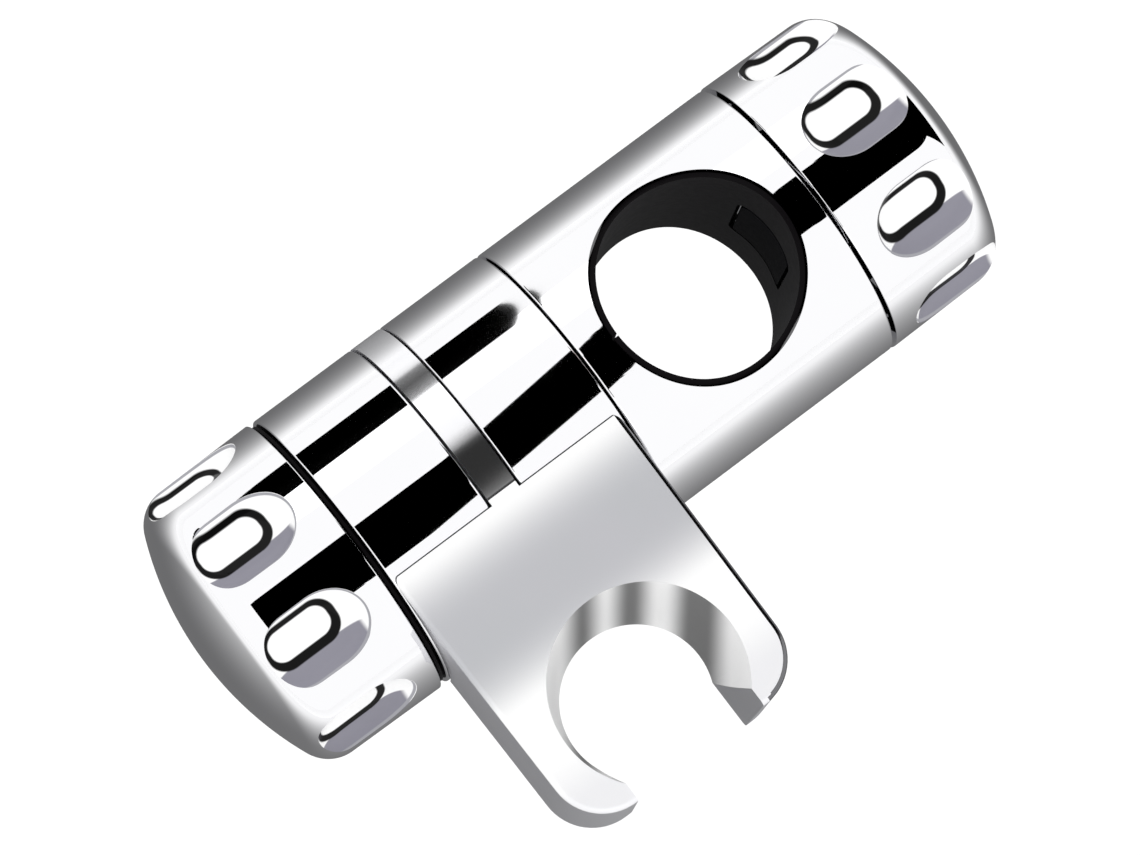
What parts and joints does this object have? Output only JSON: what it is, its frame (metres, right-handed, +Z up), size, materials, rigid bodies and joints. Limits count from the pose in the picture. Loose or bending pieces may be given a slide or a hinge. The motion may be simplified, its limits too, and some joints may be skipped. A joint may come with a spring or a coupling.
{
  "type": "shower rail slider",
  "caption": "Chrome shower rail slider: clamping body with a padded rail bore, tilting arm with an open conical handset cradle, and scooped clamp knobs at both ends.",
  "frame": {"origin": "centre of the rail bore, on the axis of the two knobs", "axes": "+Z up the rail, +X along the barrel towards the rail clamp knob, -Y the way the handset arm points"},
  "size_m": [0.1163, 0.0681, 0.041],
  "materials": {
    "chrome": "polished",
    "satin_chrome": "satin",
    "liner": "smooth black moulded",
    "rubber": "matt",
    "steel": "machined",
    "brass": "machined",
    "nylon": "natural white moulded"
  },
  "bodies": {
    "slider_body": {"body_shell": "chrome", "rail_liner": "liner", "barrel_right": "chrome", "barrel_left": "chrome", "tilt_bolt": "steel", "clamp_insert": "brass", "neck_o_ring": "rubber", "friction_washer_right": "nylon", "friction_washer_left": "nylon", "spring_washer_inner": "steel", "spring_washer_outer": "steel", "tilt_dust_ring": "liner"},
    "arm": {"holder_arm": "satin_chrome", "pivot_bush": "nylon"},
    "tilt_clamp": {"keyed_washer": "steel"},
    "tilt_knob": {"tilt_knob": "chrome", "tilt_nut": "brass", "tilt_knob_retainer": "nylon"},
    "rail_clamp": {"clamp_shoe": "liner", "shoe_pad": "rubber"},
    "rail_knob": {"rail_knob": "chrome", "clamp_screw": "steel", "rail_knob_retainer": "nylon"}
  },
  "joints": [
    {"name": "arm_tilt", "type": "hinge", "parent": "slider_body", "child": "arm", "pos_m": [-0.03605, 0, 0], "axis": [1, 0, 0], "continuous": true},
    {"name": "tilt_clamp_slide", "type": "slide", "parent": "slider_body", "child": "tilt_clamp", "axis": [1, 0, 0], "range_m": [-0.00061, 0.00021]},
    {"name": "tilt_knob_turn", "type": "hinge", "parent": "tilt_clamp", "child": "tilt_knob", "pos_m": [-0.0655, 0, 0], "axis": [1, 0, 0], "range_deg": [-216, 72]},
    {"name": "rail_clamp_slide", "type": "slide", "parent": "slider_body", "child": "rail_clamp", "axis": [-1, 0, 0], "range_m": [-0.00061, 0.00031]},
    {"name": "rail_knob_turn", "type": "hinge", "parent": "rail_clamp", "child": "rail_knob", "pos_m": [0.0289, 0, 0], "axis": [-1, 0, 0], "range_deg": [-172, 86]}
  ],
  "couplings": [
    {"joint": "tilt_clamp_slide", "follows": "tilt_knob_turn", "m_per_rad": 0.00015915},
    {"joint": "rail_clamp_slide", "follows": "rail_knob_turn", "m_per_rad": 0.00019894}
  ]
}
